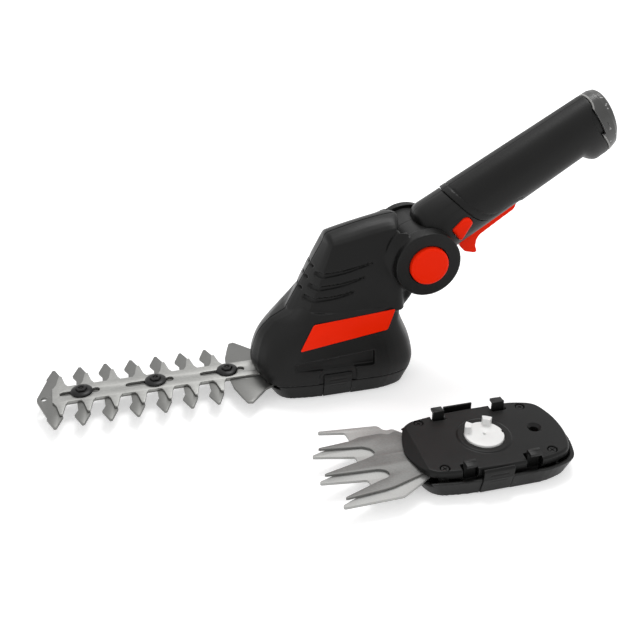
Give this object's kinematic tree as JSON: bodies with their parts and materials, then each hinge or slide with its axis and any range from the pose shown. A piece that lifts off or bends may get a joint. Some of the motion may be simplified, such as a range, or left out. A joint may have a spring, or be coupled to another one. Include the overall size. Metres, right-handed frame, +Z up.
{
  "type": "cordless shrub shears",
  "caption": "Battery shears with a toothed sliding blade, a head that folds against a straight grip handle, and a loose second cutting head with swinging combs for grass edges.",
  "frame": {"origin": "on the floor, under the drive axis of the fitted cutting head", "axes": "+X along the tool towards the handle, with the blade towards -X; -Y is the side with the pivot button; +Z up"},
  "size_m": [0.41, 0.1954, 0.1948],
  "materials": {
    "housing_black": "fine satin texture",
    "grip_black": "soft matte",
    "orange": "satin",
    "cap_grey": "satin",
    "blade_steel": "ground",
    "dark_steel": "hardened and oiled",
    "white_nylon": "moulded nylon",
    "brass": "machined",
    "iron": "zinc plated",
    "cell_wrap": "shrink wrapped",
    "board_green": "lacquered",
    "screw_black": "black oxide"
  },
  "bodies": {
    "housing": {"head_shell_left": "housing_black", "head_shell_right": "housing_black", "label_plate_left": "orange", "label_plate_right": "orange", "head_screw_1": "screw_black", "head_screw_2": "screw_black", "head_screw_3": "screw_black", "head_screw_4": "screw_black", "gear_plate_lower": "iron", "gear_plate_upper": "iron", "output_bush": "brass", "idler_axle": "dark_steel", "motor_can": "iron", "pivot_pin": "iron", "pivot_cap": "housing_black", "pivot_spring": "iron", "shrub_tray": "housing_black", "shrub_cover": "housing_black", "shrub_fixed_blade": "dark_steel", "shrub_guide_1": "screw_black", "shrub_guide_2": "screw_black", "shrub_guide_3": "screw_black"},
    "handle": {"handle_shell_left": "housing_black", "handle_shell_right": "housing_black", "grip_left": "grip_black", "grip_right": "grip_black", "end_cap": "cap_grey", "trigger_switch": "screw_black", "trigger_spring": "iron", "battery_cell_front": "cell_wrap", "battery_cell_rear": "cell_wrap", "charge_board": "board_green", "charge_socket": "housing_black", "handle_screw_1": "screw_black", "handle_screw_2": "screw_black"},
    "trigger": {"trigger": "orange"},
    "lock_off": {"lock_off_button": "orange"},
    "pivot_button": {"pivot_button": "orange"},
    "output": {"output_gear": "dark_steel", "output_spindle": "white_nylon", "shrub_hub": "white_nylon"},
    "idler": {"idler_gear": "white_nylon"},
    "motor_rotor": {"motor_shaft": "dark_steel", "motor_pinion": "brass"},
    "shrub_blade": {"shrub_moving_blade": "blade_steel"},
    "shrub_latch_left": {"shrub_latch_left": "housing_black"},
    "shrub_latch_right": {"shrub_latch_right": "housing_black"},
    "grass_cassette": {"grass_tray": "housing_black", "grass_cover": "housing_black", "grass_fixed_comb": "blade_steel", "comb_pivot_pin": "iron", "grass_cover_screw_1": "screw_black", "grass_cover_screw_2": "screw_black", "grass_cover_screw_3": "screw_black", "grass_cover_screw_4": "screw_black"},
    "grass_hub": {"grass_hub": "white_nylon"},
    "grass_comb": {"grass_moving_comb": "dark_steel"},
    "grass_latch_left": {"grass_latch_left": "housing_black"},
    "grass_latch_right": {"grass_latch_right": "housing_black"}
  },
  "joints": [
    {"name": "handle_pivot", "type": "hinge", "parent": "housing", "child": "handle", "pos_m": [0.059, 0, 0.0945], "axis": [0, -1, 0], "range_deg": [-40, 25]},
    {"name": "trigger_pull", "type": "hinge", "parent": "handle", "child": "trigger", "pos_m": [0.12903, 0, 0.12561], "axis": [0, 1, 0], "range_deg": [0, 5], "stiffness_Nm_per_rad": 0.3, "springref_deg": -5.73, "deforming": ["trigger_spring"]},
    {"name": "lock_off_press", "type": "slide", "parent": "handle", "child": "lock_off", "axis": [0, 1, 0], "range_m": [0, 0.0025], "stiffness_N_per_m": 600, "springref_m": -0.001},
    {"name": "pivot_button_press", "type": "slide", "parent": "housing", "child": "pivot_button", "axis": [0, 1, 0], "range_m": [0, 0.003], "stiffness_N_per_m": 450, "springref_m": -0.001, "deforming": ["pivot_spring"]},
    {"name": "output_spin", "type": "hinge", "parent": "housing", "child": "output", "pos_m": [0, 0, 0.03], "axis": [0, 0, 1], "continuous": true},
    {"name": "idler_spin", "type": "hinge", "parent": "housing", "child": "idler", "pos_m": [0.0168, 0, 0.043], "axis": [0, 0, 1], "continuous": true},
    {"name": "motor_spin", "type": "hinge", "parent": "housing", "child": "motor_rotor", "pos_m": [0.0028, 0, 0.047], "axis": [0, 0, 1], "continuous": true},
    {"name": "shrub_blade_slide", "type": "slide", "parent": "housing", "child": "shrub_blade", "axis": [1, 0, 0], "range_m": [-0.009, 0]},
    {"name": "shrub_latch_left_press", "type": "slide", "parent": "housing", "child": "shrub_latch_left", "axis": [0, 1, 0], "range_m": [0, 0.002], "stiffness_N_per_m": 900, "springref_m": -0.001},
    {"name": "shrub_latch_right_press", "type": "slide", "parent": "housing", "child": "shrub_latch_right", "axis": [0, -1, 0], "range_m": [0, 0.002], "stiffness_N_per_m": 900, "springref_m": -0.001},
    {"name": "grass_cassette_lift", "type": "slide", "parent": "housing", "child": "grass_cassette", "axis": [0, 0, 1], "range_m": [0, 0.06]},
    {"name": "grass_hub_spin", "type": "hinge", "parent": "grass_cassette", "child": "grass_hub", "pos_m": [0.066, -0.122, 0.018], "axis": [0, 0, 1], "continuous": true},
    {"name": "grass_comb_swing", "type": "hinge", "parent": "grass_cassette", "child": "grass_comb", "pos_m": [0.032, -0.122, 0.0127], "axis": [0, 0, 1], "range_deg": [-4.2, 11]},
    {"name": "grass_latch_left_press", "type": "slide", "parent": "grass_cassette", "child": "grass_latch_left", "axis": [0, 1, 0], "range_m": [0, 0.002], "stiffness_N_per_m": 900, "springref_m": -0.001},
    {"name": "grass_latch_right_press", "type": "slide", "parent": "grass_cassette", "child": "grass_latch_right", "axis": [0, -1, 0], "range_m": [0, 0.002], "stiffness_N_per_m": 900, "springref_m": -0.001}
  ],
  "couplings": [
    {"joint": "idler_spin", "follows": "output_spin", "ratio": -3},
    {"joint": "motor_spin", "follows": "output_spin", "ratio": 9}
  ]
}
